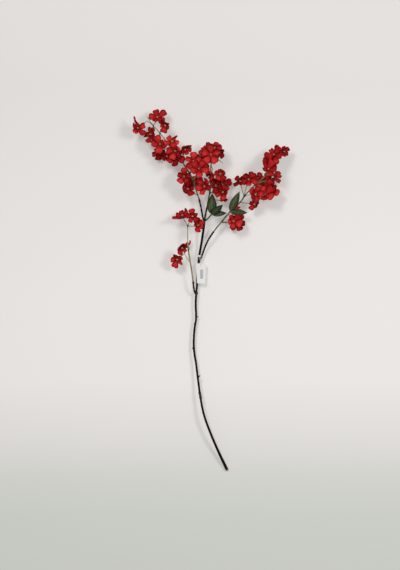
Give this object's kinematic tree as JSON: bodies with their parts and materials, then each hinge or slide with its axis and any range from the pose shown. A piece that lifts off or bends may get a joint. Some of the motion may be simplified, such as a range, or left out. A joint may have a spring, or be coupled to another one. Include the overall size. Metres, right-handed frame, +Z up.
{
  "type": "cherry blossom branch",
  "caption": "Long dark stem that forks into thin twigs of red cherry blossoms with small green leaf sets and a blank hang tag, lying flat on a surface as decoration.",
  "frame": {"origin": "under the middle of the branch's bounding box, on the surface that the branch lies on", "axes": "+Y along the branch from its cut end towards its blossoms, +X across it, +Z up from the surface"},
  "size_m": [0.443, 0.9936, 0.0887],
  "materials": {
    "bark": "satin",
    "twig": "satin",
    "petal": "matte",
    "leaf": "matte",
    "card": "matte",
    "thread": "matte"
  },
  "bodies": {
    "root": {"wood": "bark", "spray_left": "twig", "spray_middle": "twig", "spray_right": "twig", "spray_low": "twig", "blossom_left_01": "petal", "blossom_left_02": "petal", "blossom_left_03": "petal", "blossom_left_04": "petal", "blossom_left_05": "petal", "blossom_left_06": "petal", "blossom_left_07": "petal", "blossom_left_08": "petal", "blossom_left_09": "petal", "blossom_left_10": "petal", "blossom_left_11": "petal", "blossom_left_12": "petal", "blossom_left_13": "petal", "blossom_left_14": "petal", "blossom_left_15": "petal", "blossom_left_16": "petal", "blossom_left_17": "petal", "blossom_left_18": "petal", "blossom_middle_01": "petal", "blossom_middle_02": "petal", "blossom_middle_03": "petal", "blossom_middle_04": "petal", "blossom_middle_05": "petal", "blossom_middle_06": "petal", "blossom_middle_07": "petal", "blossom_middle_08": "petal", "blossom_middle_09": "petal", "blossom_middle_10": "petal", "blossom_middle_11": "petal", "blossom_right_01": "petal", "blossom_right_02": "petal", "blossom_right_03": "petal", "blossom_right_04": "petal", "blossom_right_05": "petal", "blossom_right_06": "petal", "blossom_right_07": "petal", "blossom_right_08": "petal", "blossom_right_09": "petal", "blossom_right_10": "petal", "blossom_right_11": "petal", "blossom_right_12": "petal", "blossom_right_13": "petal", "blossom_right_14": "petal", "blossom_right_15": "petal", "blossom_right_16": "petal", "blossom_low_01": "petal", "blossom_low_02": "petal", "blossom_low_03": "petal", "blossom_low_04": "petal", "blossom_low_05": "petal", "blossom_low_06": "petal", "leaves_middle": "leaf", "leaves_right": "leaf", "hang_tag": "card", "tag_thread": "thread"}
  },
  "joints": []
}
